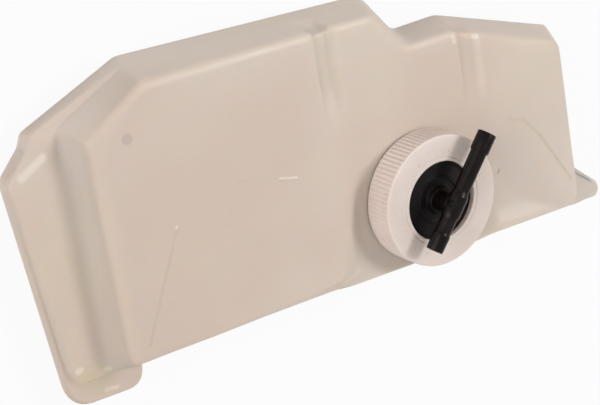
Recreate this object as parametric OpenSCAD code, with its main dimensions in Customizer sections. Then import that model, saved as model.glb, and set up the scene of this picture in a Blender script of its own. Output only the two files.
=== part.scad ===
// Coolant expansion tank, lying on its back with the filler neck up
// Millimetres. X runs along the tank towards the neck end, Y across it, Z up.
// The origin is under the middle of the whole part, on the back face.

/* [Tank body] */
// Length of the tank body without its side tab
body_len = 331.6; // [310:0.2:350]
// Width over the foot and the top edge
body_w = 161; // [152:1:175]
// Height of the main face over the back
body_h = 46; // [42:0.5:54]
// Height of the mould's parting line over the back
rim_z = 16; // [12:0.5:18]
// Thickness of the blown wall
wall = 2.5; // [1.8:0.1:3]
// How far the back face lies inside the parting line
back_in = 11; // [8:0.5:13]
// Rounding of the main face's edge
face_r = 5; // [3:0.5:7]

/* [Outline at the parting line] */
// Run of the long chamfer at the top left corner
chamfer_run = 55; // [40:1:65]
// Drop of that chamfer
chamfer_drop = 22; // [15:1:26]
// Distance of the notch's floor from the right end
notch_back = 103.4; // [95:0.2:110]
// Depth of the notch in the top edge
notch_d = 26; // [20:1:29]
// Length of the notch's floor
notch_w = 30; // [24:1:34]
// Fall of the top edge from the notch to the right end
end_fall = 25; // [18:1:30]
// Gap between the foot's bottom and the body's bottom edge
foot_drop = 12; // [9:0.5:15]
// Width of the foot
foot_w = 42; // [36:1:48]

/* [Steps in the front] */
// Height of the foot's face over the back
foot_z = 21; // [19:0.5:23]
// Height of the left shelf over the back
shelf_z = 26; // [24:0.5:30]
// Width of the left shelf at the parting line
shelf_w = 19; // [16:0.5:22]

/* [Stiffening grooves] */
// Width of a groove at the surface
groove_w = 12; // [8:0.5:14]
// Depth of a groove at the tank's top edge
groove_d = 2.4; // [1.5:0.1:3]
// Distance of the long groove from the left end
groove_long_x = 166.6; // [155:0.2:175]
// Length of the long groove on the face
groove_long = 46; // [35:1:55]
// Distance of the short groove from the left end
groove_short_x = 254.2; // [250:0.2:258]
// Length of the short groove on the face
groove_short = 43; // [32:1:50]

/* [Side tab] */
// How far the tab stands out past the body
tab_len = 20.8; // [16:1:28]
// Thickness of the tab
tab_t = 7; // [5:0.5:9]
// Width of the tab where it leaves the body
tab_w = 29; // [22:1:34]
// Rounding of the tab's tip
tab_tip_r = 4.5; // [4:0.5:6]
// Length of the tab's straight end
tab_end = 6; // [3:0.5:8]

/* [Filler neck] */
// Distance of the neck's centre from the left end
neck_x = 213.6; // [208:0.2:218]
// Distance of the neck's centre from the foot's bottom
neck_y = 53.4; // [51:0.2:56]
// Tilt of the neck's seat towards the bottom edge, in degrees
seat_tilt = 5; // [3:0.5:6]
// Reach of the seat above the neck's centre
seat_reach = 50; // [47:1:54]
// Inner radius of the neck
neck_ir = 23; // [21:0.5:23.5]
// Outer radius of the neck's wall
neck_or = 27.5; // [27:0.25:28]
// Height of the neck over its seat
neck_h = 11; // [10:0.5:12.5]

/* [Ring nut] */
// Outer radius of the nut over its ribs
nut_r = 35; // [34:0.5:38]
// Radius of the hole in the nut's top
nut_hole_r = 20.7; // [19:0.1:21.5]
// Thickness of the nut's top
nut_top_t = 3; // [2.5:0.1:3.5]
// Number of grip ribs
rib_n = 90; // [60:2:100]
// Height of a grip rib
rib_h = 0.8; // [0.4:0.1:1.2]
// Plain band over and under the ribs
rib_band = 1.5; // [1:0.1:2.5]
// Width of the rim between the hole and the thin groove round it
lip_w = 1.9; // [1.5:0.1:2.5]
// Width of that groove
lip_gap_w = 0.7; // [0.5:0.1:1]
// Depth of that groove
lip_gap_d = 0.6; // [0.3:0.1:0.8]
// Height of the neck's thread over its wall
thread_h = 1.6; // [1.2:0.1:1.8]
// Radial gap between the nut's bore and the neck's thread
nut_gap = 0.5; // [0.4:0.05:0.7]
// Gap under the nut when it is screwed down
nut_foot_gap = 0.5; // [0.3:0.1:0.8]

/* [Closure] */
// Radius of the closure's flange
flange_r = 27.2; // [26.5:0.1:27.3]
// Thickness of the closure's flange
flange_t = 2.4; // [2:0.1:2.8]
// Radius of the plug that drops into the neck
plug_r = 22.5; // [20:0.1:22.6]
// Depth of the plug
plug_h = 6; // [4:0.5:8]
// Wall thickness of the plug
plug_t = 2; // [1.5:0.1:2.5]
// Radius of the raised ring on the closure's top
ring_r = 12; // [10:0.5:14]
// Height of the raised ring
ring_h = 0.8; // [0.5:0.1:1.2]
// Width of the raised ring
ring_w = 1.2; // [0.8:0.1:2]
// Radius of the closure's central boss
boss_r = 7.5; // [7:0.25:8.5]
// Height of the boss over the flange
boss_h = 3; // [2:0.25:4]
// Thickness of the rubber seal
seal_t = 1.5; // [1.2:0.1:1.8]
// Gap left at each seat between parts that come apart
seat_gap = 0.1; // [0.05:0.05:0.2]

/* [Hose tee] */
// Height of the tee's bar over the nut's top
bar_h = 10; // [8:0.5:13]
// Turn of the bar from the tank's length, in degrees
bar_turn = 52; // [0:1:90]
// Length of the long arm
arm_long = 40; // [36:0.5:44]
// Length of the short arm
arm_short = 25; // [22:0.5:29]
// Outer radius of the arms
arm_r = 4.25; // [4:0.05:4.5]
// Radius of the collars that hold the hoses
collar_r = 4.9; // [4.8:0.05:5.4]
// Length of a collar
collar_len = 10; // [7:0.5:12]
// Chamfer on a collar's edges
collar_edge = 0.4; // [0.2:0.1:0.6]
// Radius of the passages through the tee
tee_bore_r = 2.6; // [2:0.1:2.9]
// Outer radius of the tee's stem
stem_r = 5; // [4.8:0.1:5.4]
// Radius of the round hub in the middle of the bar
hub_r = 5.45; // [5:0.05:6]
// Radius of the passage down the stem
stem_bore_r = 1.8; // [1.4:0.1:2]
// Length of the spigot that holds the dip tube
spigot_len = 9; // [6:0.5:10]

/* [Dip tube] */
// Outer radius of the dip tube
tube_r = 4; // [3.6:0.1:4.2]
// Wall thickness of the dip tube
tube_t = 1.2; // [0.8:0.1:1.4]
// Gap between the tube's end and the tank's floor
tube_floor_gap = 5; // [3:0.5:8]
// Play between parts that are pushed into each other
push_gap = 0.05; // [0.02:0.01:0.1]

/* [Hidden] */

// Points on the arc of each rounded corner, less one
corner_n = 5;
part_len = body_len + tab_len;
left = -part_len/2;
foot = -body_w/2;

// Named places along the outline, from the left end and the foot's bottom
bar_x = body_len - notch_back;
end_y = body_w - notch_d - end_fall;
foot_in = 10.2;
foot_x2 = foot_in + foot_w;
top_x = shelf_w - 4 + chamfer_run;
top_y = body_w - chamfer_drop;

// Corners at the parting line as [x, y, rounding], counter-clockwise from the foot's outer corner
rim_pts = [
    [foot_in, 1, 13],
    [foot_x2, 0, 8],
    [foot_x2, foot_drop, 2],
    [body_len - 8, foot_drop - 3, 8],
    [body_len, end_y, 4.5],
    [bar_x + notch_w, body_w - notch_d, 10],
    [bar_x, body_w - notch_d, 8],
    [bar_x - 17, body_w - 5, 12],
    [top_x, body_w, 12],
    [shelf_w - 4, top_y, 5],
    [shelf_w - 7, top_y - 7, 3],
    [0, top_y - 20, 8]
];

// Corners of the main face, in the same order
face_x = shelf_w + 18.6;
face_y = foot_drop + 13;
face_pts = [
    [face_x, face_y - 0.6, 6],
    [face_x + 13, face_y - 0.6, 6],
    [neck_x - 58, face_y + 0.4, 6],
    [body_len - 20, face_y - 4, 7],
    [body_len - 24, end_y - 4, 10],
    [bar_x + notch_w - 12, body_w - notch_d - 6, 8],
    [bar_x - 10, body_w - notch_d - 5, 8],
    [bar_x - 33, body_w - 12, 6],
    [top_x - 5, body_w - 12, 8],
    [face_x, top_y - 12, 5],
    [face_x, top_y - 22, 5],
    [face_x, top_y - 36, 5]
];

function lerp(a, b, k) = (1 - k)*a + k*b;
function turn(p, a) = [p[0]*cos(a) - p[1]*sin(a), p[0]*sin(a) + p[1]*cos(a)];
function flat(p) = [p[0], p[1]];
function wrap(list, i) = list[(i + len(list)) % len(list)];

// An arc in place of the corner p between its neighbours a and b, or a short straight run if they line up
function corner(a, p, b, r, n) =
    let(
        u = (a - p)/norm(a - p),
        v = (b - p)/norm(b - p),
        half = acos(max(-1, min(1, u*v)))/2,
        side = cross(p - a, b - p) >= 0 ? 1 : -1,
        mid = p + (u + v)/max(0.001, norm(u + v))*r/sin(half),
        first = p + u*r/tan(half),
        sweep = side*(180 - 2*half)
    )
    half > 86
        ? [for (i = [0:n]) p + (u - v)*(0.5 - i/n)]
        : [for (i = [0:n]) mid + turn(first - mid, sweep*i/n)];

function rounded(pts, n) = [
    for (i = [0:len(pts) - 1])
        each corner(flat(wrap(pts, i - 1)), flat(pts[i]), flat(wrap(pts, i + 1)), pts[i][2], n)
];

// The outline moved inwards by d, with its roundings kept true
function inset(pts, d) = [
    for (i = [0:len(pts) - 1])
        let(
            p = flat(pts[i]),
            e1 = p - flat(wrap(pts, i - 1)),
            e2 = flat(wrap(pts, i + 1)) - p,
            n1 = [-e1[1], e1[0]]/norm(e1),
            n2 = [-e2[1], e2[0]]/norm(e2),
            q = p + (n1 + n2)*d/(1 + n1*n2),
            r = cross(e1, e2) >= 0 ? max(0.6, pts[i][2] - d) : pts[i][2] + d
        )
        [q[0], q[1], r]
];

// Share of the way from the parting line to the main face where its edge rounding starts
round_k = 0.6;
face_base = body_h - face_r;
function wall_k(z) = round_k*(z - rim_z)/(face_base - rim_z);

// The outline at height z of the wall, with the three corners of the foot and of the shelf given by themselves
function walled(z, foot_pts, shelf_pts) =
    let(p = lerp(rim_pts, face_pts, wall_k(z)))
    [for (i = [0:len(p) - 1]) i < 3 ? foot_pts[i] : i > 8 ? shelf_pts[i - 9] : p[i]];

foot_rim = [for (i = [0:2]) rim_pts[i]];
foot_wall = foot_rim + [[0.8, 1.5, 0], [-1, 1.5, 0], [-1, 1, 0]];
foot_crest = foot_rim + [[3, 5, 0], [-4, 5, -1], [-4, 3, 0]];
foot_back = [[foot_in + 1, foot_drop + 3, 6], [foot_x2 - 22, foot_drop + 2.7, 4], [foot_x2, foot_drop + 2.5, 4]];
foot_main = [[shelf_w + 8.6, foot_drop + 4, 6], [shelf_w + 21, foot_drop + 4, 4], [foot_x2 + 24, foot_drop + 3.8, 4]];

shelf_rim = [for (i = [9:11]) rim_pts[i]];
shelf_wall = shelf_rim + [[2, -1.5, 0], [1.5, -2, 0], [1.5, -1.5, 0]];
shelf_crest = shelf_rim + [[6, -5, 0], [6, -4.5, 0], [5, -3, 0]];
shelf_back = [[shelf_w + 8.6, top_y - 2, 5], [shelf_w + 8.6, top_y - 14, 3], [shelf_w + 8.6, top_y - 27, 3]];
foot_side = lerp(foot_back, foot_main, 0.2);

// Outlines of the back half as [share of the back inset, share of the height]
back_steps = [[1, 0], [0.72, 0.09], [0.42, 0.32], [0.16, 0.66]];
// Outlines of the main face's rounded edge as [share of the way in, share of the height]
edge_steps = [[0, 0], [0.14, 0.5], [0.5, 0.87], [1, 1]];

shelf_top = walled(shelf_z + 0.5, foot_main, shelf_back);
wall_top = lerp(shelf_top, face_pts, 0.5);

// All levels of the outer skin from the back to the main face, as [height, corners]
outer_levels = concat(
    [for (s = back_steps) [rim_z*s[1], inset(rim_pts, back_in*s[0])]],
    [
        [rim_z, rim_pts],
        [foot_z - 2, walled(foot_z - 2, foot_wall, lerp(shelf_rim, shelf_wall, 0.4))],
        [foot_z, walled(foot_z, foot_crest, lerp(shelf_rim, shelf_wall, 0.6))],
        [foot_z + 0.5, walled(foot_z + 0.5, foot_back, lerp(shelf_rim, shelf_wall, 0.65))],
        [shelf_z - 2, walled(shelf_z - 2, foot_back, shelf_wall)],
        [shelf_z, walled(shelf_z, foot_side, shelf_crest)],
        [shelf_z + 0.5, shelf_top]
    ],
    [for (s = edge_steps) [face_base + face_r*s[1], lerp(wall_top, face_pts, s[0])]]
);

// Levels of the hollow, one wall or a little more inside the outer skin
inner_levels = [
    [wall, inset(rim_pts, back_in*0.72 + wall)],
    [rim_z*0.4, inset(rim_pts, back_in*0.35 + wall)],
    [rim_z - 1, inset(rim_pts, wall)],
    [foot_z - wall - 1, inset(walled(foot_z, foot_crest, shelf_rim), wall)],
    [foot_z - wall + 1, inset(walled(foot_z, foot_side, shelf_rim), wall)],
    [shelf_z - wall - 1, inset(walled(shelf_z, foot_side, shelf_crest), wall)],
    [shelf_z - wall + 1.5, inset(shelf_top, wall)],
    [face_base - wall, inset(wall_top, wall)],
    [body_h - wall, inset(lerp(wall_top, face_pts, 0.8), wall)]
];

// A closed skin through the levels, each with the same number of points, capped by fans about the point eye
module skin(levels, n, eye) {
    rings = [for (l = levels) rounded(l[1], n)];
    m = len(rings[0]);
    last = len(rings) - 1;
    hub = (last + 1)*m;
    pts = concat(
        [for (k = [0:last]) for (q = rings[k]) [q[0], q[1], levels[k][0]]],
        [for (k = [0, last]) [eye[0], eye[1], levels[k][0]]]
    );
    sides = [
        for (k = [0:last - 1]) for (i = [0:m - 1])
            let(j = (i + 1) % m)
            each [
                [k*m + i, (k + 1)*m + i, (k + 1)*m + j],
                [k*m + i, (k + 1)*m + j, k*m + j]
            ]
    ];
    caps = [
        for (i = [0:m - 1])
            let(j = (i + 1) % m)
            each [[hub, i, j], [hub + 1, last*m + j, last*m + i]]
    ];
    polyhedron(pts, concat(sides, caps), convexity = 10);
}

// Point from which the whole of the back and of the main face can be seen
skin_eye = [face_x + 2, 60];

// Frame on the neck's seat, with +Z along the neck
seat_drop = seat_reach*tan(seat_tilt);
seat_z = body_h - seat_drop;
module at_tank() translate([left, foot, 0]) children();
module at_neck() translate([left + neck_x, foot + neck_y, seat_z]) rotate([seat_tilt, 0, 0]) children();

// Heights over the neck's seat
seal_z = neck_h + seat_gap;
flange_z = seal_z + seal_t;
top_z = flange_z + flange_t + seat_gap;
nut_top = top_z + nut_top_t;
bar_z = nut_top + bar_h;
nut_bore_r = neck_or + thread_h + nut_gap;
// The bead that holds the flange in the nut, and the pocket over it
bead_r = flange_r - 0.5;
bead_h = 1.4;
pocket_r = flange_r + 0.4;

// The lowered seat round the neck, open to the bottom edge
seat_pts = [
    [-40, 31, 0], [-54, -45, 0], [110, -45, 0], [92, -19, 0], [84, -5, 0], [78, 8, 0], [71, 18, 0], [62, 24, 0],
    [50, seat_reach + 6, 0], [-36, seat_reach + 6, 0]
];
module seat_cut(sink) {
    intersection() {
        translate([neck_x, neck_y, 0]) linear_extrude(body_h + 20)
            polygon([for (p = inset(seat_pts, -sink)) flat(p)]);
        translate([neck_x, neck_y, seat_z - sink]) rotate([seat_tilt, 0, 0])
            translate([-150, -150, 0]) cube([300, 300, 60]);
    }
}

// A shallow flat-bottomed channel that starts over the top edge and fades out down the face
module groove(x, top, reach, sink) {
    tilt = atan(groove_d/reach);
    translate([x, top - reach, body_h - sink]) rotate([-tilt, 0, 0])
        rotate([90, 0, 0]) translate([0, 0, -reach - 30])
            linear_extrude(reach + 30)
                polygon([
                    [-groove_w/2 + groove_d, 0],
                    [groove_w/2 - groove_d, 0],
                    [groove_w/2 + 10, 10 + groove_d],
                    [-groove_w/2 - 10, 10 + groove_d]
                ]);
}

module grooves(sink) {
    groove(groove_long_x, body_w - 10, groove_long, sink);
    groove(groove_short_x, body_w - notch_d - 10, groove_short, sink);
}

// The flat tab pinched out of the parting line
module tab() {
    tip = [body_len + tab_len - tab_tip_r, foot_drop + 1];
    root_x = body_len - 22;
    translate([0, 0, rim_z - tab_t/2])
        hull() {
            translate([tip[0], tip[1], 0]) cylinder(r = tab_tip_r, h = tab_t, $fn = 32);
            translate([tip[0] - tab_end, tip[1], 0]) cylinder(r = tab_tip_r, h = tab_t, $fn = 32);
            translate([root_x, foot_drop - 3, 0]) cube([4, tab_w, tab_t]);
        }
}

module tank_shell() {
    color("#eadfce") {
        at_tank() difference() {
            union() {
                skin(outer_levels, corner_n, skin_eye);
                tab();
            }
            grooves(0);
            seat_cut(0);
            difference() {
                skin(inner_levels, 2, skin_eye);
                grooves(wall);
                seat_cut(wall);
            }
            translate([neck_x, neck_y, seat_z]) rotate([seat_tilt, 0, 0])
                translate([0, 0, -2*wall]) cylinder(r = neck_ir, h = 4*wall, $fn = 96);
        }
        at_neck() difference() {
            translate([0, 0, -wall/2]) cylinder(r = neck_or, h = neck_h + wall/2, $fn = 96);
            translate([0, 0, -wall]) cylinder(r = neck_ir, h = neck_h + 2*wall, $fn = 96);
        }
    }
}

module ring_nut() {
    color("#f2eee6") at_neck() difference() {
        union() {
            translate([0, 0, nut_foot_gap]) cylinder(r = nut_r - rib_h, h = nut_top - nut_foot_gap, $fn = 180);
            translate([0, 0, nut_foot_gap + rib_band]) linear_extrude(nut_top - nut_foot_gap - 2*rib_band)
                polygon([
                    for (i = [0:rib_n - 1]) for (s = [[-0.36, -1], [-0.14, 0], [0.14, 0], [0.36, -1]])
                        (nut_r + s[1]*(rib_h + 0.2))*[cos((i + s[0])*360/rib_n), sin((i + s[0])*360/rib_n)]
                ]);
        }
        translate([0, 0, -1]) cylinder(r = nut_bore_r, h = flange_z - bead_h + 1, $fn = 96);
        translate([0, 0, flange_z - 2]) cylinder(r = bead_r, h = 3, $fn = 96);
        translate([0, 0, flange_z - seat_gap]) cylinder(r = pocket_r, h = top_z - flange_z + seat_gap, $fn = 96);
        translate([0, 0, top_z - 1]) cylinder(r = nut_hole_r, h = nut_top_t + 2, $fn = 96);
        translate([0, 0, nut_top - lip_gap_d]) difference() {
            cylinder(r = nut_hole_r + lip_w + lip_gap_w, h = 1, $fn = 96);
            translate([0, 0, -1]) cylinder(r = nut_hole_r + lip_w, h = 3, $fn = 96);
        }
    }
}

module closure_disc() {
    color("#17161a") at_neck() difference() {
        union() {
            translate([0, 0, flange_z]) cylinder(r = flange_r, h = flange_t, $fn = 96);
            translate([0, 0, flange_z - plug_h]) cylinder(r = plug_r, h = plug_h + 0.5, $fn = 96);
            translate([0, 0, flange_z + flange_t - 0.5]) difference() {
                cylinder(r = ring_r + ring_w/2, h = ring_h + 0.5, $fn = 96);
                translate([0, 0, -1]) cylinder(r = ring_r - ring_w/2, h = ring_h + 3, $fn = 96);
            }
            translate([0, 0, flange_z]) cylinder(r = boss_r, h = flange_t + boss_h, $fn = 64);
        }
        translate([0, 0, flange_z - plug_h - 1]) cylinder(r = plug_r - plug_t, h = plug_h + 1, $fn = 96);
        translate([0, 0, flange_z - plug_h - 2]) cylinder(r = stem_r + push_gap, h = 30, $fn = 64);
    }
}

module sealing_gasket() {
    color("#2b2b2b") at_neck() translate([0, 0, seal_z]) difference() {
        cylinder(r = bead_r - 0.4, h = seal_t, $fn = 96);
        translate([0, 0, -1]) cylinder(r = plug_r + 0.2, h = seal_t + 2, $fn = 96);
    }
}

// One arm of the tee, from the stem to its hose collar with chamfered edges
module arm(reach) {
    rotate([0, 90, 0]) cylinder(r = arm_r, h = reach - collar_edge, $fn = 64);
    translate([reach - collar_len, 0, 0]) rotate([0, 90, 0]) rotate_extrude($fn = 64)
        polygon([
            [0, 0],
            [collar_r - collar_edge, 0],
            [collar_r, collar_edge],
            [collar_r, collar_len - collar_edge],
            [collar_r - collar_edge, collar_len],
            [0, collar_len]
        ]);
}

module hose_tee() {
    color("#1c1b1f") at_neck() difference() {
        union() {
            translate([0, 0, flange_z - spigot_len])
                cylinder(r = tube_r - tube_t - push_gap, h = spigot_len + 1, $fn = 64);
            translate([0, 0, flange_z - 1]) cylinder(r = stem_r, h = bar_z - flange_z + 1, $fn = 64);
            translate([0, 0, bar_z]) rotate([0, 0, bar_turn]) {
                arm(arm_long);
                rotate([0, 0, 180]) arm(arm_short);
                translate([0, 0, -arm_r]) cylinder(r = hub_r, h = 2*arm_r - 0.4, $fn = 64);
            }
        }
        translate([0, 0, bar_z]) rotate([0, 0, bar_turn]) translate([-arm_short - 1, 0, 0]) rotate([0, 90, 0])
            cylinder(r = tee_bore_r, h = arm_long + arm_short + 2, $fn = 64);
        translate([0, 0, flange_z - spigot_len - 1])
            cylinder(r = stem_bore_r, h = bar_z - flange_z + spigot_len + 1, $fn = 48);
    }
}

floor_h = -(seat_z - wall - tube_floor_gap);
module dip_tube() {
    color("#8f8f88") at_neck() difference() {
        translate([0, 0, floor_h]) cylinder(r = tube_r, h = flange_z - 1 - floor_h, $fn = 64);
        translate([0, 0, floor_h - 1]) cylinder(r = tube_r - tube_t, h = flange_z + 2 - floor_h, $fn = 64);
    }
}

tank_shell();
ring_nut();
closure_disc();
sealing_gasket();
hose_tee();
dip_tube();
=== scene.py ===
import math
import bpy
from mathutils import Matrix, Vector


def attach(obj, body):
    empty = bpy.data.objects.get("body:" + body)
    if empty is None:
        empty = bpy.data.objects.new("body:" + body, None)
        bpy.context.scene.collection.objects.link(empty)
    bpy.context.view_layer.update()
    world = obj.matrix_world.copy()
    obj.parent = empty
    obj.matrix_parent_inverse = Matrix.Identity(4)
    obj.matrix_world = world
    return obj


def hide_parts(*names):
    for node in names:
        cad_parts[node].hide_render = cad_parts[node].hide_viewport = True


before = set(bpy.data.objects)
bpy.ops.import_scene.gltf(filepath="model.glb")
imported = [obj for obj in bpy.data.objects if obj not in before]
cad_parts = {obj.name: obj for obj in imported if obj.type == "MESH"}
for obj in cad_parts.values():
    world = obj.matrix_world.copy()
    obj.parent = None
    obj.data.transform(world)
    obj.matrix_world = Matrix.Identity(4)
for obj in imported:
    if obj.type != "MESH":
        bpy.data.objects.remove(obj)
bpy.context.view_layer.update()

mm = 0.001

# camera where the photo was taken from, with a long lens and no shift
view = {
    "spot": (-0.50087, 0.25263, 0.80605),
    "turn": (-10.272, -33.643, -11.304),
    "lens": 114.0,
    "sensor": 36.0,
    "near": 0.05,
}
bpy.ops.object.select_all(action="DESELECT")
bpy.ops.object.camera_add(location=view["spot"], rotation=[math.radians(a) for a in view["turn"]])
camera = bpy.context.object
camera.data.lens = view["lens"]
camera.data.sensor_width = view["sensor"]
camera.data.clip_start = view["near"]
bpy.context.scene.camera = camera
print("camera placed")


def activate(obj):
    bpy.ops.object.select_all(action="DESELECT")
    obj.select_set(True)
    bpy.context.view_layer.objects.active = obj


def applyAll(obj):
    activate(obj)
    for mod in list(obj.modifiers):
        bpy.ops.object.modifier_apply(modifier=mod.name)


def smoothBy(obj, degrees):
    activate(obj)
    bpy.ops.object.shade_smooth_by_angle(angle=math.radians(degrees))


def ease(x, low, high):
    t = max(0.0, min(1.0, (x - low) / (high - low)))
    return t * t * (3 - 2 * t)


# cuts a round hole about the Z axis that the matrix gives, with its middle at the matrix's place
def cutHole(piece, place, radius, depth, sides):
    bpy.ops.object.select_all(action="DESELECT")
    bpy.ops.mesh.primitive_cylinder_add(vertices=sides, radius=radius * mm, depth=depth * mm)
    cutter = bpy.context.object
    cutter.matrix_world = place
    hole = piece.modifiers.new("hole", "BOOLEAN")
    hole.operation = "DIFFERENCE"
    hole.solver = "EXACT"
    hole.object = cutter
    applyAll(piece)
    bpy.data.objects.remove(cutter)


# a tube of rings, extruded from a circle, whose points are then put in place by ring and by turn
def ringMesh(name, rings, around, place, closed=False):
    bpy.ops.object.select_all(action="DESELECT")
    bpy.ops.mesh.primitive_circle_add(vertices=around, radius=1, location=(0, 0, 0))
    obj = bpy.context.object
    obj.name = name
    obj.data.name = name
    bpy.ops.object.mode_set(mode="EDIT")
    bpy.ops.mesh.select_all(action="SELECT")
    for step in range(rings - 1):
        bpy.ops.mesh.extrude_edges_move(TRANSFORM_OT_translate={"value": (0, 0, 1)})
    if closed:  # the first and last rings meet
        bpy.ops.mesh.select_all(action="DESELECT")
        bpy.ops.object.mode_set(mode="OBJECT")
        for e in obj.data.edges:
            ends = [round(obj.data.vertices[i].co.z) for i in e.vertices]
            e.select = ends[0] == ends[1] and ends[0] in (0, rings - 1)
        bpy.ops.object.mode_set(mode="EDIT")
        bpy.ops.mesh.select_mode(type="EDGE")
        bpy.ops.mesh.bridge_edge_loops()
        bpy.ops.mesh.select_mode(type="VERT")
    bpy.ops.object.mode_set(mode="OBJECT")
    first = obj.data.vertices[0].co.copy()
    start = math.atan2(first.y, first.x)
    for v in obj.data.vertices:
        k = round(v.co.z)
        i = round((math.atan2(v.co.y, v.co.x) - start) / math.tau * around) % around
        v.co = place(k, i)
    bpy.ops.object.mode_set(mode="EDIT")
    bpy.ops.mesh.select_all(action="SELECT")
    bpy.ops.mesh.remove_doubles(threshold=0.00001)
    bpy.ops.mesh.normals_make_consistent(inside=False)
    bpy.ops.object.mode_set(mode="OBJECT")
    return obj


# a turned piece from a profile of (radius, height) in mm, about the axis that the matrix gives
def lathe(name, profile, around, axis, ripple=None):
    def place(k, i):
        r, z = profile[k]
        a = math.tau * i / around
        if ripple:
            r += ripple(k, i, z)
        return axis @ Vector((r * math.cos(a) * mm, r * math.sin(a) * mm, z * mm))

    return ringMesh(name, len(profile), around, place, closed=True)


# rounds the corners of a profile given as (radius, height, rounding)
def rounded(points, steps=4, loop=False):
    out = []
    count = len(points)
    for n, (x, y, r) in enumerate(points):
        if r == 0 or (not loop and n in (0, count - 1)):
            out.append((x, y))
            continue
        p = Vector((x, y))
        a = (Vector(points[n - 1][:2]) - p).normalized()
        b = (Vector(points[(n + 1) % count][:2]) - p).normalized()
        half = math.acos(max(-1, min(1, a.dot(b)))) / 2
        mid = p + (a + b).normalized() * (r / math.sin(half))
        first = p + a * (r / math.tan(half)) - mid
        sweep = math.pi - 2 * half
        if (-a).cross(b) < 0:
            sweep = -sweep
        for s in range(steps + 1):
            c, d = math.cos(sweep * s / steps), math.sin(sweep * s / steps)
            out.append((mid.x + first.x * c - first.y * d, mid.y + first.x * d + first.y * c))
    return out


# the blown tank body, as outlines at heights over the back, in mm from its left end and the foot's bottom
tank = {
    "corner": (-176.2, -80.5),
    "rimHeight": 16.0,
    "footHeight": 21.0,
    "shelfHeight": 26.0,
    "wallHeight": 41.0,
    "height": 46.0,
    "lean": 0.6,  # share of the way in to the face's outline at the wall's top
    "wall": 2.4,
    "seatTilt": 5.0,
    "neckSpot": (213.6, 53.4),
    "seatReach": 50.0,
    "opening": 24.6,
    "openingDepth": 12.0,
    "backHub": ((34, 84), (286, 78)),
    "faceHub": ((58, 84), (286, 78)),
    "hubSteps": 76,
    "backRings": 10,
    "faceRings": 30,
    "arcSteps": 7,
    "flatCorner": 86.0,
    "flatRun": 2.2,
    "tabSteps": 10,
    "pitch": 2.5,
}

# corners as (x, y, rounding), counter-clockwise from the foot's outer corner
rimPts = [
    (10.6, 0.6, 13), (52.2, -0.2, 8), (52.2, 12, 2), (323.4, 9.2, 8),
    (324.7, 25.5, 3), (325.4, 34, 3), (326.1, 43, 3),
    (332, 110.6, 4), (258.2, 134.4, 10), (228.6, 133.6, 9), (212.6, 156, 12), (71, 160.8, 12),
    (15.8, 138.6, 5), (12.6, 132, 3), (-0.2, 119, 8),
]
facePts = [
    (37.6, 24.4, 6), (50.6, 24.4, 6), (155.6, 25.4, 6), (311.6, 21, 7),
    (311.3, 34, 3), (311, 42, 3), (310.6, 50, 3),
    (308.6, 107, 9), (246.2, 130, 8), (213, 129.6, 9), (195.2, 149, 6), (65, 149, 8),
    (37.6, 127, 5), (37.6, 117, 5), (37.6, 103, 5),
]
tabPts = {3: (323.4, 8.2, 8), 4: (355.2, 6.6, 4.6), 5: (350.5, 15.8, 5), 6: (326.6, 34, 8)}


def mix(a, b, k):
    return [tuple(x + (y - x) * k for x, y in zip(p, q)) for p, q in zip(a, b)]


def swapped(pts, changes):
    return [changes.get(n, p) for n, p in enumerate(pts)]


def wallPts(z):
    deep = tank["wallHeight"] - tank["rimHeight"]
    return mix(rimPts, facePts, tank["lean"] * (z - tank["rimHeight"]) / deep)


def insetPts(pts, d):
    out = []
    for n, (x, y, r) in enumerate(pts):
        p = Vector((x, y))
        e1 = (p - Vector(pts[n - 1][:2])).normalized()
        e2 = (Vector(pts[(n + 1) % len(pts)][:2]) - p).normalized()
        n1, n2 = Vector((-e1.y, e1.x)), Vector((-e2.y, e2.x))
        q = p + (n1 + n2) * (d / (1 + n1.dot(n2)))
        turnsIn = e1.cross(e2) < 0
        out.append((q.x, q.y, r + 0.7 * d if turnsIn else max(1.0, r - d)))
    return out


# how many points each side gets between its corners
sideCounts = []
for n in range(len(rimPts)):
    runs = [math.dist(pts[n][:2], pts[(n + 1) % len(pts)][:2]) for pts in (rimPts, facePts)]
    sideCounts.append(max(3, round((max(runs) - 4) / tank["pitch"])))
for n in (3, 4, 5):
    sideCounts[n] = tank["tabSteps"]


def outline(pts):
    arcs = []
    count, steps = len(pts), tank["arcSteps"]
    for n, (x, y, r) in enumerate(pts):
        p = Vector((x, y))
        a = (Vector(pts[n - 1][:2]) - p).normalized()
        b = (Vector(pts[(n + 1) % count][:2]) - p).normalized()
        half = math.acos(max(-1, min(1, a.dot(b)))) / 2
        if half > math.radians(tank["flatCorner"]):  # almost straight, so no arc
            arcs.append([p + (a - b) * (0.5 - s / steps) * tank["flatRun"] for s in range(steps + 1)])
            continue
        mid = p + (a + b).normalized() * (r / math.sin(half))
        first = p + a * (r / math.tan(half)) - mid
        sweep = math.pi - 2 * half
        if (-a).cross(b) < 0:
            sweep = -sweep
        arcs.append([mid + Matrix.Rotation(sweep * s / steps, 2) @ first for s in range(steps + 1)])
    out = []
    for n, arc in enumerate(arcs):
        after = arcs[(n + 1) % count][0]
        out += arc
        out += [arc[-1].lerp(after, s / sideCounts[n]) for s in range(1, sideCounts[n])]
    return out


# the wall's outline at a height, with the foot's, the shelf's and the tab's corners given by themselves
def withLow(z, foot, shelf, tab=None):
    pts = swapped(wallPts(z), dict(zip((0, 1, 2), foot)))
    pts = swapped(pts, dict(zip((12, 13, 14), shelf)))
    return swapped(pts, tab) if tab else pts


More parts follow.
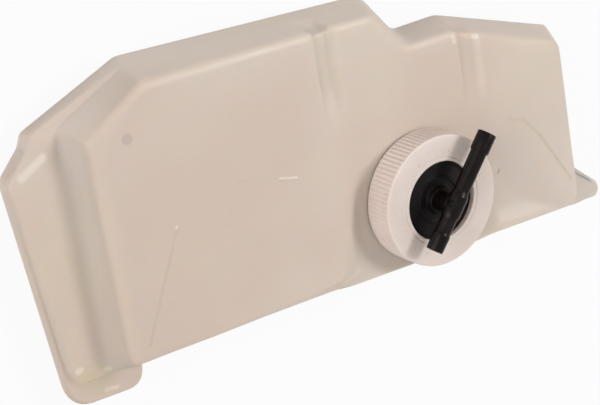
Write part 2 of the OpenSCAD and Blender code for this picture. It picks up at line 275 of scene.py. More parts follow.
footWall = [(11.0, 2.5, 13), (51.2, 1.5, 8), (51.2, 13, 2)]
footCrest = [(13.2, 6, 12), (48.2, 5, 7), (48.2, 15, 2)]
footBack = [(11.2, 15, 6), (30.2, 14.7, 4), (52.2, 14.5, 4)]
footMain = [(27.6, 16, 6), (40, 16, 4), (76.2, 15.8, 4)]
shelfRim = rimPts[12:]
shelfWall = [(17, 137.5, 5), (13.5, 130, 3), (1.5, 117.5, 8)]
shelfCrest = [(21, 134, 5), (18, 127.5, 3), (5, 116, 8)]
shelfBack = [(27.6, 137, 5), (27.6, 125, 3), (27.6, 112, 3)]

rimTab = swapped(rimPts, tabPts)
rimZ, footZ, shelfZ, wallZ = tank["rimHeight"], tank["footHeight"], tank["shelfHeight"], tank["wallHeight"]
shelfTop = withLow(shelfZ + 0.5, footMain, shelfBack)
wallTop = mix(shelfTop, facePts, 0.5)

# key outlines: (height, corners, rings from the one before)
levels = [
    (0, insetPts(rimPts, 11.0), 1),
    (1.4, insetPts(rimPts, 7.9), 2),
    (5.1, insetPts(rimPts, 4.6), 3),
    (10.5, insetPts(rimPts, 1.8), 3),
    (12.7, insetPts(rimPts, 0.8), 2),
    (13.4, insetPts(rimTab, 0.6), 3),
    (rimZ, rimTab, 2),
    (footZ - 2.4, withLow(footZ - 2.4, footWall, mix(shelfRim, shelfWall, 0.4), tabPts), 2),
    (footZ - 1.7, withLow(footZ - 1.7, footWall, mix(shelfRim, shelfWall, 0.4)), 3),
    (footZ, withLow(footZ, footCrest, mix(shelfRim, shelfWall, 0.6)), 2),
    (footZ + 0.5, withLow(footZ + 0.5, footBack, mix(shelfRim, shelfWall, 0.65)), 5),
    (shelfZ - 2, withLow(shelfZ - 2, footBack, shelfWall), 2),
    (shelfZ, withLow(shelfZ, mix(footBack, footMain, 0.2), shelfCrest), 2),
    (shelfZ + 0.5, shelfTop, 9),
    (wallZ, wallTop, 9),
    (wallZ + 2.5, mix(wallTop, facePts, 0.14), 2),
    (wallZ + 4.35, mix(wallTop, facePts, 0.5), 2),
    (tank["height"], facePts, 2),
]

rows = [[(p.x, p.y, levels[0][0]) for p in outline(levels[0][1])]]
for (low, _, _), (high, pts, rings) in zip(levels, levels[1:]):
    before, here = rows[-1], outline(pts)
    for s in range(1, rings + 1):
        k = s / rings
        rows.append([
            (b[0] + (p.x - b[0]) * k, b[1] + (p.y - b[1]) * k, low + (high - low) * k)
            for b, p in zip(before, here)
        ])


# rings that close the two flat sides, running in to a line along the middle
def towardsHub(row, k, hub):
    (x0, y0), (x1, y1) = tank[hub]
    out = []
    for x, y, z in row:
        t = max(0.0, min(1.0, (x - x0) / (x1 - x0)))
        t = round(t * tank["hubSteps"]) / tank["hubSteps"]
        hx, hy = x0 + (x1 - x0) * t, y0 + (y1 - y0) * t
        out.append((x + (hx - x) * k, y + (hy - y) * k, z))
    return out


back, face = tank["backRings"], tank["faceRings"]
backRows = [towardsHub(rows[0], 1 - s / back, "backHub") for s in range(back)]
frontRows = [towardsHub(rows[-1], s / face, "faceHub") for s in range(1, face + 1)]
rows = backRows + rows + frontRows
around = len(rows[0])
print("tank rings", len(rows), "around", around)

cornerX, cornerY = tank["corner"]


def skinSpot(k, i):
    x, y, z = rows[k][i]
    return Vector(((x + cornerX) * mm, (y + cornerY) * mm, z * mm))


# a point's place in mm from the tank's left end and the foot's bottom
def fromCorner(v):
    return v.co.x / mm - cornerX, v.co.y / mm - cornerY, v.co.z / mm


shell = ringMesh("tank_body", len(rows), around, skinSpot)
print("tank blown", len(shell.data.polygons))

# the lowered seat round the neck, whose edge is soft and runs out slowly at its right
seat = {
    "pts": [
        (-40, 31), (-54, -45), (110, -45), (92, -19), (84, -5),
        (78, 8), (71, 18), (62, 24), (50, 56), (-36, 56),
    ],
    "floor": 27.0,
    "left": 140.0,
    "soft": 6.0,
    "ramp": 30.0,
    "rampFrom": (30, 50),
    "lip": 1.3,
    "lipBelow": 40.0,
    "lipRise": (27, 37),
}
neckX, neckY = tank["neckSpot"]


def insideBy(pts, x, y):
    inside = False
    near = 1e9
    for n, (x0, y0) in enumerate(pts):
        x1, y1 = pts[(n + 1) % len(pts)]
        run = Vector((x1 - x0, y1 - y0))
        t = max(0.0, min(1.0, Vector((x - x0, y - y0)).dot(run) / run.length_squared))
        near = min(near, math.hypot(x - x0 - run.x * t, y - y0 - run.y * t))
        if (y0 > y) != (y1 > y) and x < x0 + (y - y0) * (x1 - x0) / (y1 - y0):
            inside = not inside
    return near if inside else -near


def seatHeight(y):
    return tank["height"] + (y - neckY - tank["seatReach"]) * math.tan(math.radians(tank["seatTilt"]))


for v in shell.data.vertices:
    x, y, z = fromCorner(v)
    if z < seat["floor"] or x < seat["left"]:
        continue
    depth = insideBy(seat["pts"], x - neckX, y - neckY)
    long = ease(x - neckX, *seat["rampFrom"])
    k = ease(depth, -seat["soft"] * (1 - long), seat["soft"] + (seat["ramp"] - seat["soft"]) * long)
    low = seatHeight(y)
    if z > low:
        v.co.z -= k * (z - low) * mm
    if y < seat["lipBelow"]:
        v.co.y -= k * seat["lip"] * ease(z, *seat["lipRise"]) * mm

# soften it, less at the tab, and much more over the riser, the foot and the right block
softness = {
    "factor": 0.5,
    "rounds": {"soft": 5, "softer": 44},
    "riser": ((50, 84), (118, 140), (21, 25)),  # where each fades, along x, y and z
    "toe": ((46, 84), (18, 34), (18, 21)),
    "blockFrom": ((190, 215), (85, 100), (24, 34)),
    "tab": (324, 334),
    "tabLess": 0.9,
    "tabThinner": 0.25,
    "block": 0.55,
    "blockEnd": (285, 300),
    "blockEndLess": 0.85,
}
riserX, riserY, riserZ = softness["riser"]
toeX, toeY, toeZ = softness["toe"]
blockX, blockY, blockZ = softness["blockFrom"]
groups = {name: shell.vertex_groups.new(name=name) for name in ("soft", "softer", "wall")}
for v in shell.data.vertices:
    x, y, z = fromCorner(v)
    atTab = ease(x, *softness["tab"])
    riser = (1 - ease(x, *riserX)) * ease(z, *riserZ) * (1 - ease(y, *riserY))
    toe = (1 - ease(y, *toeY)) * (1 - ease(x, *toeX)) * ease(z, *toeZ)
    blockEnd = softness["blockEndLess"] * ease(x, *softness["blockEnd"])
    block = ease(x, *blockX) * ease(y, *blockY) * ease(z, *blockZ) * (1 - blockEnd)
    shares = {
        "soft": (1.0 - softness["tabLess"] * atTab) * ease(z, 0, 1.4),
        "softer": max(riser, toe, softness["block"] * block),
        "wall": 1.0 - softness["tabThinner"] * atTab,
    }
    for name, share in shares.items():
        groups[name].add([v.index], share, "REPLACE")
for name, rounds in softness["rounds"].items():
    soften = shell.modifiers.new("soften " + name, "SMOOTH")
    soften.factor = softness["factor"]
    soften.iterations = rounds
    soften.vertex_group = name
applyAll(shell)

# shallow grooves pressed into the face and over the top edge, and the foot's dished face
grooves = [
    {"x": 166.6, "from": 100.0, "to": 126.0, "half": 2.8, "fade": (2.8, 5.5), "depth": 2.4},
    {"x": 252.6, "from": 84.0, "to": 112.0, "half": 2.6, "fade": (3.2, 6.5), "depth": 1.9},
]
grooveRise = (28, 38)
dents = [
    {"at": (28, 11, 21), "reach": 10.0, "depth": 1.6},
    {"at": (24, 70, 26), "reach": 16.0, "depth": 0.5},
    {"at": (331, 13, 20), "reach": 13.0, "depth": -1.5},
]
moves = []
for v in shell.data.vertices:
    x, y, z = fromCorner(v)
    push = 0.0
    if z > grooveRise[0]:
        for g in grooves:
            fade = g["fade"][0 if x < g["x"] else 1]
            across = 1 - ease(abs(x - g["x"]), g["half"], g["half"] + fade)
            push += g["depth"] * across * ease(y, g["from"], g["to"]) * ease(z, *grooveRise)
    for d in dents:
        away = math.dist((x, y, z), d["at"]) / d["reach"]
        if away < 1:
            push += d["depth"] * (1 - away * away) ** 2
    moves.append(v.normal * (-push * mm))
for v, move in zip(shell.data.vertices, moves):
    v.co += move

# open the neck, then give the skin a wall on its inside
neck = Matrix.Translation(((neckX + cornerX) * mm, (neckY + cornerY) * mm, seatHeight(neckY) * mm)) \
    @ Matrix.Rotation(math.radians(tank["seatTilt"]), 4, "X")
cutHole(shell, neck, tank["opening"], tank["openingDepth"], 96)
activate(shell)
bpy.ops.object.mode_set(mode="EDIT")
bpy.ops.mesh.select_mode(type="FACE")
bpy.ops.mesh.select_all(action="DESELECT")
bpy.ops.object.mode_set(mode="OBJECT")
for f in shell.data.polygons:  # what the cut left of the cutter's own side and floor
    spot = neck.inverted() @ f.center
    f.select = math.hypot(spot.x, spot.y) < (tank["opening"] + 0.02) * mm and spot.z > -8 * mm
bpy.ops.object.mode_set(mode="EDIT")
bpy.ops.mesh.delete(type="FACE")
bpy.ops.object.mode_set(mode="OBJECT")
hollow = shell.modifiers.new("wall", "SOLIDIFY")
hollow.thickness = tank["wall"] * mm
hollow.offset = -1
hollow.vertex_group = "wall"
hollow.thickness_vertex_group = 0.0
applyAll(shell)
smoothBy(shell, 50)
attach(shell, "tank")
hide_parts("tank_shell")
print("tank shell done", len(shell.data.polygons))

# heights over the neck's seat, in mm
stack = {"neck": 11.0, "seal": 11.1, "flange": 12.6, "top": 15.1, "nut": 18.1, "bar": 28.1}
flange = stack["flange"]

# the neck with its thread, moulded in one with the tank
neckForm = {
    "inner": 23.0,
    "outer": 27.5,
    "root": -3.2,
    "around": 192,
    "rings": 30,
    "threadFrom": 0.4,
    "threadRun": 9.6,
    "threadStart": 1.6,
    "pitch": 6.0,
    "threadHeight": 1.5,
    "crest": (0.5, 1.4),
    "turns": 1.4,
    "runOut": 0.12,
}


def threadRipple(k, i, z):
    if k < 3 or k > 3 + neckForm["rings"]:
        return 0.0
    best = 0.0
    for t in range(-1, 3):
        run = t + i / neckForm["around"]
        mid = neckForm["threadStart"] + run * neckForm["pitch"]
        end, out = neckForm["turns"], neckForm["runOut"]
        grow = ease(run, 0.0, out) * (1 - ease(run, end - out, end))
        best = max(best, grow * (1 - ease(abs(z - mid), *neckForm["crest"])))
    return best * neckForm["threadHeight"]


inner, outer, start = neckForm["inner"], neckForm["outer"], neckForm["threadFrom"]
rings, top = neckForm["rings"], stack["neck"]
profile = [(inner, neckForm["root"]), (outer, neckForm["root"]), (outer, start)]
profile += [(outer, start + neckForm["threadRun"] * s / rings) for s in range(1, rings + 1)]
profile += rounded([(outer, top - 0.8, 0), (outer, top, 0.5), (inner, top, 0.8), (inner, top - 2, 0)])[1:]
neckPiece = lathe("tank_neck", profile, neckForm["around"], neck, ripple=threadRipple)
smoothBy(neckPiece, 50)
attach(neckPiece, "tank")
print("neck done")

# ribbed ring nut
nut = {
    "radius": 34.3,
    "ribs": 90,
    "perRib": 8,
    "ribHeight": 0.5,
    "ribFlank": (0.15, 0.75),
    "ribFrom": (1.2, 2.6),
    "ribTo": (16.2, 17.4),
    "sideFrom": 2.8,
    "sideRun": 13.2,
    "sideRings": 10,
    "foot": 0.5,
    "bore": 29.7,
    "bead": 26.7,
    "pocket": 27.6,
    "hole": 20.7,
    "lip": 22.2,
    "lipWidth": 1.0,
    "lipDepth": 0.35,
}


def ribRipple(k, i, z):
    if not nutSide[0] <= k <= nutSide[1]:
        return 0.0
    rise = 0.5 + 0.5 * math.cos(math.tau * (i % nut["perRib"]) / nut["perRib"])
    valley = -nut["ribHeight"] * (1 - ease(rise, *nut["ribFlank"]))
    return valley * ease(z, *nut["ribFrom"]) * (1 - ease(z, *nut["ribTo"]))


top, edge, bore = stack["nut"], nut["radius"], nut["bore"]
start, run, rings = nut["sideFrom"], nut["sideRun"], nut["sideRings"]
lipIn, lipOut, lipLow = nut["lip"], nut["lip"] + nut["lipWidth"], stack["nut"] - nut["lipDepth"]
outer = rounded([(bore, nut["foot"], 0), (edge - 0.7, nut["foot"], 0.5), (edge, 1.6, 0.5), (edge, start, 0)])
side = [(edge, start + run * s / rings) for s in range(1, rings + 1)]
crown = rounded([
    (edge, 16.4, 0), (edge, top, 0.9),
    (lipOut, top, 0.15), (lipOut - 0.2, lipLow, 0.15), (lipIn + 0.2, lipLow, 0.15), (lipIn, top, 0.15),
    (nut["hole"], top, 0.5), (nut["hole"], stack["top"], 0.1),
    (nut["pocket"], stack["top"], 0.1), (nut["pocket"], flange - 0.1, 0.1),
    (nut["bead"], flange - 0.1, 0.2), (nut["bead"], flange - 1.3, 0.2),
    (bore, flange - 1.3, 0.2), (bore, flange - 1.8, 0),
])
profile = outer + side + crown
nutSide = (len(outer) - 6, len(outer) + len(side) + 2)
nutPiece = lathe("ring_nut_ribbed", profile, nut["ribs"] * nut["perRib"], neck, ripple=ribRipple)
smoothBy(nutPiece, 38)
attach(nutPiece, "nut")
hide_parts("ring_nut")
print("ring nut done", len(nutPiece.data.polygons))

# black closure: flange with a raised ring, a boss, and the plug below
disc = {
    "around": 128,
    "bore": 5.05,
    "boss": 7.5,
    "bossHeight": 5.4,
    "thick": 2.4,
    "ring": 12.0,
    "ringHeight": 3.2,
    "step": 19.2,
    "stepHeight": 2.15,
    "radius": 27.2,
    "plug": 22.5,
    "plugInner": 20.5,
    "plugDepth": 6.0,
}
bore, boss, ring, step, rim = disc["bore"], disc["boss"], disc["ring"], disc["step"], disc["radius"]
bossTop, ringTop, discTop = flange + disc["bossHeight"], flange + disc["ringHeight"], flange + disc["thick"]
stepTop, plugEnd = flange + disc["stepHeight"], flange - disc["plugDepth"]
profile = rounded([
    (bore, bossTop, 0), (boss - 0.6, bossTop, 0.4), (boss, discTop, 0.6),
    (ring - 0.7, discTop, 0.4), (ring - 0.4, ringTop, 0.3),
    (ring + 0.4, ringTop, 0.3), (ring + 0.7, discTop, 0.4),
    (step - 0.3, discTop, 0.3), (step, stepTop, 0.3), (rim, stepTop, 0.2), (rim, flange, 0.2),
    (disc["plug"], flange, 0.2), (disc["plug"] - 0.3, plugEnd, 0.5),
    (disc["plugInner"], plugEnd, 0.5), (disc["plugInner"], flange, 0.3),
    (bore, flange, 0.1), (bore, flange + 1, 0),
], steps=3)
discPiece = lathe("closure_black", profile, disc["around"], neck)
smoothBy(discPiece, 40)
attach(discPiece, "closure")
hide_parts("closure_disc")

# rubber seal
seal = {"inner": 22.7, "outer": 26.3, "round": 0.35, "around": 128}
profile = rounded([
    (seal[r], z, seal["round"])
    for r, z in (("inner", stack["seal"]), ("outer", stack["seal"]), ("outer", flange), ("inner", flange))
], loop=True)
sealPiece = lathe("seal_rubber", profile, seal["around"], neck)
smoothBy(sealPiece, 40)
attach(sealPiece, "closure")
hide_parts("sealing_gasket")

# dip tube
tube = {"radius": 4.0, "bore": 2.8, "bottom": -34.1, "top": 11.6, "around": 64}
profile = rounded([
    (tube["bore"], tube["bottom"], 0.3), (tube["radius"], tube["bottom"], 0.3),
    (tube["radius"], tube["top"], 0.2), (tube["bore"], tube["top"], 0.2),
], loop=True)
tubePiece = lathe("dip_tube_round", profile, tube["around"], neck)
smoothBy(tubePiece, 40)
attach(tubePiece, "closure")
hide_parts("dip_tube")
print("closure parts done")

# hose tee: bar with a bore, end collars, and a stem
tee = {
    "turn": 52.0,
    "long": 40.0,
    "short": 25.0,
    "arm": 4.2,
    "bore": 2.6,
    "collar": 4.9,
    "collarLength": 10.0,
    "middle": 4.9,
    "middleHalf": 5.0,
    "stem": 5.0,
    "stemTop": 5.6,
    "stemBore": 1.8,
    "spigot": 2.75,
    "spigotLength": 9.0,
    "around": 64,
}
middle = neck @ Matrix.Translation((0, 0, stack["bar"] * mm)) \
    @ Matrix.Rotation(math.radians(tee["turn"]), 4, "Z")
alongBar = middle @ Matrix.Rotation(math.radians(90), 4, "Y")
long, short, bore, arm, collar = tee["long"], tee["short"], tee["bore"], tee["arm"], tee["collar"]
shortRoot, longRoot = tee["collarLength"] - short, long - tee["collarLength"]
profile = rounded([
    (bore, -short, 0.3), (collar - 0.5, -short, 0.6),
    (collar - 0.3, shortRoot - 1, 0.5), (arm, shortRoot, 0.5),
    (arm, -7.0, 1.5), (tee["middle"], -tee["middleHalf"], 1.2),
    (tee["middle"], tee["middleHalf"], 1.2), (arm - 0.1, 7.5, 1.5),
    (arm, longRoot - 0.8, 0.5), (collar, longRoot, 0.4), (collar, long, 0.6), (bore, long, 0.3),
], loop=True)
barPiece = lathe("hose_tee_bar", profile, tee["around"], alongBar)
stem, spigot, stemBore, stemTop = tee["stem"], tee["spigot"], tee["stemBore"], tee["stemTop"]
stemEnd, spigotEnd = stack["bar"] - 0.5, flange - tee["spigotLength"]
profile = rounded([
    (stemBore, spigotEnd, 0.2), (spigot, spigotEnd, 0.3), (spigot, flange - 1, 0.1), (stem, flange - 1, 0.3),
    (stem, stack["bar"] - 7, 2.0), (stemTop, stack["bar"] - 4, 1.0),
    (stemTop, stemEnd, 0.3), (stemBore, stemEnd, 0.2),
], loop=True)
stemPiece = lathe("hose_tee_stem", profile, tee["around"], neck)
activate(barPiece)
stemPiece.select_set(True)
bpy.ops.object.join()
barPiece.name = "hose_tee_black"

# small round recess in the near flank of the tee's middle, with three pips in it
recess = {
    "radius": 2.2,
    "depth": 2.0,
    "out": 4.9,
    "tilt": -55.0,
    "pips": 3,
    "pip": 0.4,
    "pipRing": 0.9,
    "pipTurn": 0.5,
}
flank = middle @ Matrix.Rotation(math.radians(recess["tilt"]), 4, "X")
mouth = flank @ Matrix.Translation((0, 0, recess["out"] * mm))
cutHole(barPiece, mouth, recess["radius"], 2 * recess["depth"], 40)
pips = []
for n in range(recess["pips"]):
    a = math.tau * n / recess["pips"] + recess["pipTurn"]
    bpy.ops.object.select_all(action="DESELECT")
    bpy.ops.mesh.primitive_uv_sphere_add(segments=16, ring_count=8, radius=recess["pip"] * mm)
    pip = bpy.context.object
    away, low = recess["pipRing"], recess["out"] - recess["depth"]
    spot = Vector((away * math.cos(a), away * math.sin(a), low))
    pip.data.transform(flank @ Matrix.Translation(spot * mm))
    pips.append(pip)
activate(barPiece)
for pip in pips:
    pip.select_set(True)
bpy.ops.object.join()
smoothBy(barPiece, 40)
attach(barPiece, "closure")
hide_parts("hose_tee")
print("tee done")


# materials: noises and masks over object coordinates
def newMaterial(name, pieces, roughness, **sockets):
    mat = bpy.data.materials.new(name)
    mat.use_nodes = True
    shader = mat.node_tree.nodes["Principled BSDF"]
    shader.inputs["Roughness"].default_value = roughness
    for key, value in sockets.items():
        shader.inputs[key.replace("_", " ")].default_value = value
    for piece in pieces:
        piece.data.materials.clear()
        piece.data.materials.append(mat)
    return mat, shader


def addNode(mat, kind, **values):
    node = mat.node_tree.nodes.new(kind)
    for key, value in values.items():
        setattr(node, key, value)
    return node


def join(mat, a, b):
    mat.node_tree.links.new(a, b)


def objectSpot(mat):
    return addNode(mat, "ShaderNodeTexCoord").outputs["Object"]


def noise(mat, scale, detail):
    tex = addNode(mat, "ShaderNodeTexNoise")
    tex.inputs["Scale"].default_value = scale
    tex.inputs["Detail"].default_value = detail
    join(mat, objectSpot(mat), tex.inputs["Vector"])
    return tex.outputs["Fac"]


def ramp(mat, fac, low, high, a, b):
    node = addNode(mat, "ShaderNodeMapRange", interpolation_type="SMOOTHSTEP")
    for key, value in (("From Min", low), ("From Max", high), ("To Min", a), ("To Max", b)):
        node.inputs[key].default_value = value
    join(mat, fac, node.inputs["Value"])
    return node.outputs["Result"]


# mixes two colours, each a tuple or a socket
def blendColour(mat, fac, a, b):
    node = addNode(mat, "ShaderNodeMix", data_type="RGBA")
    for n, c in ((6, a), (7, b)):
        if isinstance(c, tuple):
            node.inputs[n].default_value = (*c, 1)
        else:
            join(mat, c, node.inputs[n])
    join(mat, fac, node.inputs[0])
    return node.outputs[2]


def bump(mat, height, strength, distance):
    node = addNode(mat, "ShaderNodeBump")
    node.inputs["Strength"].default_value = strength
    node.inputs["Distance"].default_value = distance
    join(mat, height, node.inputs["Height"])
    return node.outputs["Normal"]


def linear(r, g, b):
    return tuple(((c / 255 + 0.055) / 1.055) ** 2.4 for c in (r, g, b))


# two close colours in soft patches
def patchy(mat, scale, low, high, a, b, detail=3):
    patches = ramp(mat, noise(mat, scale, detail), low, high, 0.0, 1.0)
    return blendColour(mat, patches, linear(*a), linear(*b))


# a soft stroke on the upper side between two points in mm, as a mask
def streak(mat, mark):
    a, b = Vector(mark["from"]), Vector(mark["to"])
    mid, run = (a + b) / 2, b - a
    shift = addNode(mat, "ShaderNodeVectorMath", operation="SUBTRACT")
    shift.inputs[1].default_value = (mid.x * mm, mid.y * mm, 0)
    spin = addNode(mat, "ShaderNodeVectorRotate", rotation_type="Z_AXIS")
    spin.inputs["Angle"].default_value = -math.atan2(run.y, run.x)
    split = addNode(mat, "ShaderNodeSeparateXYZ")
    join(mat, objectSpot(mat), shift.inputs[0])
    join(mat, shift.outputs[0], spin.inputs["Vector"])
    join(mat, spin.outputs["Vector"], split.inputs[0])
    along = addNode(mat, "ShaderNodeMath", operation="ABSOLUTE")
    past = addNode(mat, "ShaderNodeMath", operation="SUBTRACT")
    past.inputs[1].default_value = run.length / 2 * mm
    beyond = addNode(mat, "ShaderNodeMath", operation="MAXIMUM")
    beyond.inputs[1].default_value = 0
    flat = addNode(mat, "ShaderNodeCombineXYZ")
    size = addNode(mat, "ShaderNodeVectorMath", operation="LENGTH")
    join(mat, split.outputs["X"], along.inputs[0])
    join(mat, along.outputs[0], past.inputs[0])
    join(mat, past.outputs[0], beyond.inputs[0])
    join(mat, beyond.outputs[0], flat.inputs["X"])
    join(mat, split.outputs["Y"], flat.inputs["Y"])
    join(mat, flat.outputs[0], size.inputs[0])
    mask = ramp(mat, size.outputs["Value"], mark["half"] * mm, (mark["half"] + mark["edge"]) * mm, 1.0, 0.0)
    above = mark.get("above", 36)
    for part in (
        ramp(mat, split.outputs["Z"], above * mm, (above + 1.5) * mm, 0.0, mark["much"]),
        ramp(mat, noise(mat, 90, 2), 0.3, 0.6, mark.get("broken", 0.5), 1.0),
    ):
        both = addNode(mat, "ShaderNodeMath", operation="MULTIPLY")
        join(mat, mask, both.inputs[0])
        join(mat, part, both.inputs[1])
        mask = both.outputs[0]
    return mask


milkyLook = {
    "base": (208, 190, 176),
    "pale": (213, 198, 187),
    "stain": (211, 195, 172),
    "stainMuch": 0.35,
    "evened": 0.9,
}
milky, milkyShader = newMaterial(
    "milky_plastic", [shell, neckPiece], 0.42,
    Subsurface_Weight=0.7, Subsurface_Radius=(1.0, 0.7, 0.45), Subsurface_Scale=0.006,
    Specular_IOR_Level=0.3, Coat_Weight=0.14, Coat_Roughness=0.27,
)
base = patchy(milky, 9, 0.35, 0.65, milkyLook["base"], milkyLook["pale"], detail=2)
stain = ramp(milky, noise(milky, 17, 3), 0.45, 0.75, 0.0, milkyLook["stainMuch"])
base = blendColour(milky, stain, base, linear(*milkyLook["stain"]))

# in mm, with the half width and soft edge; "above" is the height a mark starts to show at, and
# "broken" is how much is left where the noise breaks it up
marks = [
    # round spot on the face
    {"from": (-123.0, 48.0), "to": (-122.6, 48.0), "half": 2.2, "edge": 0.9,
     "colour": (190, 174, 164), "much": 0.75, "broken": 1.0},
    # hairline down the face, with a bright nick at its top
    {"from": (-106.3, -0.6), "to": (-132.0, -50.9), "half": 0.1, "edge": 1.3,
     "colour": (192, 176, 156), "much": 0.5},
    {"from": (-132.0, -50.9), "to": (-136.1, -52.0), "half": 0.1, "edge": 1.0,
     "colour": (196, 180, 160), "much": 0.5},
    {"from": (-106.5, -0.2), "to": (-106.2, 0.4), "half": 0.3, "edge": 0.7,
     "colour": (232, 222, 210), "much": 0.7, "broken": 1.0},
    # scratch across the middle
    {"from": (-70.5, 11.9), "to": (-46.2, 6.1), "half": 0.0, "edge": 0.9,
     "colour": (196, 180, 162), "much": 0.5, "broken": 0.1},
    {"from": (-46.2, 6.3), "to": (-36.6, 3.9), "half": 0.1, "edge": 0.8,
     "colour": (240, 231, 220), "much": 0.8, "broken": 0.6},
    {"from": (-47.0, 5.3), "to": (-37.0, 2.7), "half": 0.0, "edge": 0.8,
     "colour": (188, 172, 156), "much": 0.6, "broken": 0.4},
    # speck right of the nut
    {"from": (89.2, -31.6), "to": (89.8, -30.4), "half": 0.4, "edge": 0.9,
     "colour": (184, 164, 138), "much": 0.7, "broken": 1.0},
    # painted shade along the seat's crease towards the tab, drawn as a thin darker line
    {"from": (96.8, -3.8), "to": (106.9, -6.7), "half": 0.0, "edge": 2.2,
     "colour": (198, 182, 156), "much": 0.35},
    {"from": (106.9, -6.7), "to": (117.0, -18.5), "half": 0.0, "edge": 1.7,
     "colour": (198, 182, 154), "much": 0.5},
    {"from": (117.0, -18.5), "to": (126.2, -34.2), "half": 0.0, "edge": 1.5,
     "colour": (192, 176, 148), "much": 0.6},
    {"from": (126.2, -34.2), "to": (134.0, -47.5), "half": 0.0, "edge": 1.5,
     "colour": (192, 176, 148), "much": 0.55},
    # painted highlight as a pale strip along the right flank of the right groove
    {"from": (84.0, 41.5), "to": (83.4, 14.0), "half": 0.0, "edge": 3.8,
     "colour": (232, 217, 207), "much": 0.32},
    # painted highlights on the edges of the shelf, the riser's top, the right groove's top and the foot
    {"from": (-168.6, 39.4), "to": (-156.8, 46.4), "half": 0.4, "edge": 2.6,
     "colour": (244, 234, 222), "much": 0.45, "above": 16, "broken": 1.0},
    {"from": (-148.9, 52.6), "to": (-148.3, 51.8), "half": 0.7, "edge": 1.8,
     "colour": (244, 234, 222), "much": 0.6, "broken": 1.0},
    {"from": (84.4, 43.9), "to": (83.0, 44.1), "half": 0.6, "edge": 1.4,
     "colour": (240, 228, 218), "much": 0.5, "broken": 1.0},
    {"from": (69.4, 47.0), "to": (69.6, 45.0), "half": 0.8, "edge": 1.2,
     "colour": (232, 217, 207), "much": 0.5, "broken": 1.0},
    # painted glints on the foot's edges
    {"from": (-161.2, -58.6), "to": (-160.2, -58.0), "half": 0.7, "edge": 1.5,
     "colour": (240, 230, 212), "much": 0.5, "above": 14, "broken": 1.0},
    {"from": (-147.8, -61.0), "to": (-147.0, -61.4), "half": 0.6, "edge": 1.5,
     "colour": (240, 230, 212), "much": 0.5, "above": 14, "broken": 1.0},
    {"from": (-146.6, -74.5), "to": (-141.0, -74.9), "half": 0.3, "edge": 1.5,
     "colour": (236, 226, 208), "much": 0.5, "above": 14, "broken": 1.0},
    # yellowed foot
    {"from": (-156, -64), "to": (-150, -68), "half": 3.0, "edge": 9.0,
     "colour": (198, 184, 148), "much": 0.55, "above": 8, "broken": 0.4},
]
for mark in marks:
    base = blendColour(milky, streak(milky, mark), base, linear(*mark["colour"]))
join(milky, base, milkyShader.inputs["Base Color"])
join(milky, ramp(milky, noise(milky, 60, 4), 0.3, 0.7, 0.36, 0.5), milkyShader.inputs["Roughness"])

# light inside the milky wall evens out its shading, while the surface shine keeps the true form
grain = bump(milky, noise(milky, 260, 3), 0.12, 0.0006)
evened = addNode(milky, "ShaderNodeVectorMath", operation="ADD")
evened.inputs[1].default_value = (0, 0, milkyLook["evened"])
unit = addNode(milky, "ShaderNodeVectorMath", operation="NORMALIZE")
join(milky, grain, evened.inputs[0])
join(milky, evened.outputs[0], unit.inputs[0])
join(milky, unit.outputs[0], milkyShader.inputs["Normal"])
join(milky, grain, milkyShader.inputs["Coat Normal"])

whiteLook = {"base": (217, 202, 193), "pale": (223, 209, 201), "specks": (182, 164, 150), "specksMuch": 0.45}
white, whiteShader = newMaterial(
    "white_plastic", [nutPiece], 0.42,
    Subsurface_Weight=0.4, Subsurface_Radius=(1.0, 0.8, 0.6), Subsurface_Scale=0.004,
)
base = patchy(white, 40, 0.35, 0.65, whiteLook["base"], whiteLook["pale"])
specks = ramp(white, noise(white, 420, 2), 0.66, 0.72, 0.0, whiteLook["specksMuch"])
base = blendColour(white, specks, base, linear(*whiteLook["specks"]))
join(white, base, whiteShader.inputs["Base Color"])
join(white, bump(white, noise(white, 700, 3), 0.1, 0.0003), whiteShader.inputs["Normal"])

black, blackShader = newMaterial("black_plastic", [barPiece], 0.3, Specular_IOR_Level=0.2)
join(black, patchy(black, 60, 0.4, 0.7, (16, 8, 7), (26, 15, 13)), blackShader.inputs["Base Color"])
join(black, ramp(black, noise(black, 180, 3), 0.3, 0.7, 0.24, 0.4), blackShader.inputs["Roughness"])
join(black, bump(black, noise(black, 900, 2), 0.12, 0.0002), blackShader.inputs["Normal"])

# the disc, browned towards its right side
satinLook = {"brown": (46, 28, 20), "brownFrom": (0.044, 0.058), "brownMuch": 0.9}
satin, satinShader = newMaterial("black_satin", [discPiece], 0.42, Specular_IOR_Level=0.2)
split = addNode(satin, "ShaderNodeSeparateXYZ")
join(satin, objectSpot(satin), split.inputs[0])
browned = ramp(satin, split.outputs["X"], *satinLook["brownFrom"], 0.0, satinLook["brownMuch"])
base = patchy(satin, 50, 0.4, 0.7, (12, 8, 7), (19, 13, 11))
base = blendColour(satin, browned, base, linear(*satinLook["brown"]))
join(satin, base, satinShader.inputs["Base Color"])
join(satin, bump(satin, noise(satin, 800, 2), 0.1, 0.0002), satinShader.inputs["Normal"])

rubber, rubberShader = newMaterial("seal_rubber_mat", [sealPiece], 0.7)
join(rubber, patchy(rubber, 200, 0.4, 0.7, (30, 30, 30), (44, 43, 42)), rubberShader.inputs["Base Color"])

natural, naturalShader = newMaterial("grey_plastic", [tubePiece], 0.45)
base = patchy(natural, 90, 0.4, 0.7, (150, 148, 140), (168, 164, 156))
join(natural, base, naturalShader.inputs["Base Color"])
print("materials done")

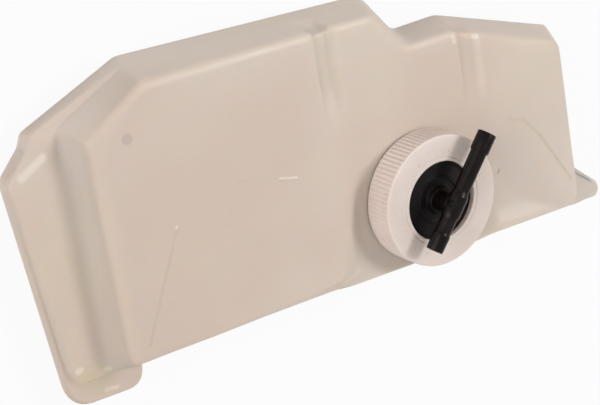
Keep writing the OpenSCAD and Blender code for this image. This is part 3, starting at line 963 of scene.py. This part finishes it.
# pale floor, which a camera or a shine sees almost white
room = {"floorSize": 6.0, "floorLow": -0.0002, "floorGrey": 0.6, "floorWhite": 0.93, "fill": 0.52}
bpy.ops.object.select_all(action="DESELECT")
bpy.ops.mesh.primitive_plane_add(size=room["floorSize"], location=(0, 0, room["floorLow"]))
floor = bpy.context.object
floor.name = "floor"
grey = room["floorGrey"]
floorMat, floorShader = newMaterial("pale_floor", [floor], 0.8, Base_Color=(grey, grey, grey, 1))
glow = addNode(floorMat, "ShaderNodeEmission")
glow.inputs["Strength"].default_value = 1.0
path = addNode(floorMat, "ShaderNodeLightPath")
seen = path.outputs["Is Camera Ray"]
for ray in ("Is Glossy Ray", "Is Transmission Ray"):
    either = addNode(floorMat, "ShaderNodeMath", operation="MAXIMUM")
    join(floorMat, seen, either.inputs[0])
    join(floorMat, path.outputs[ray], either.inputs[1])
    seen = either.outputs[0]
share = addNode(floorMat, "ShaderNodeMath", operation="MULTIPLY")
share.inputs[1].default_value = room["floorWhite"]
shaders = addNode(floorMat, "ShaderNodeMixShader")
join(floorMat, seen, share.inputs[0])
join(floorMat, share.outputs[0], shaders.inputs[0])
join(floorMat, floorShader.outputs[0], shaders.inputs[1])
join(floorMat, glow.outputs[0], shaders.inputs[2])
join(floorMat, shaders.outputs[0], floorMat.node_tree.nodes["Material Output"].inputs["Surface"])

# one soft lamp over the right end and a wide one from the left, which both face the tank
lamps = [
    {"spot": (1.5, 0.5, 2.55), "size": 0.8, "power": 40.0},
    {"spot": (-2.8, 0.45, 1.0), "size": 2.6, "power": 53.0},
]
for lamp in lamps:
    bpy.ops.object.light_add(type="AREA", location=lamp["spot"])
    light = bpy.context.object
    light.data.size = lamp["size"]
    light.data.energy = lamp["power"]
    light.rotation_euler = (-light.location).to_track_quat("-Z", "Y").to_euler()

# even light from all round, white to the camera
world = bpy.data.worlds.new("room")
bpy.context.scene.world = world
world.use_nodes = True
fill = world.node_tree.nodes["Background"]
plain = addNode(world, "ShaderNodeBackground")
for sky in (fill, plain):
    sky.inputs["Color"].default_value = (1, 1, 1, 1)
fill.inputs["Strength"].default_value = room["fill"]
path = addNode(world, "ShaderNodeLightPath")
shaders = addNode(world, "ShaderNodeMixShader")
join(world, path.outputs["Is Camera Ray"], shaders.inputs[0])
join(world, fill.outputs[0], shaders.inputs[1])
join(world, plain.outputs[0], shaders.inputs[2])
join(world, shaders.outputs[0], world.node_tree.nodes["World Output"].inputs["Surface"])
bpy.context.scene.view_settings.view_transform = "Standard"
print("room done")
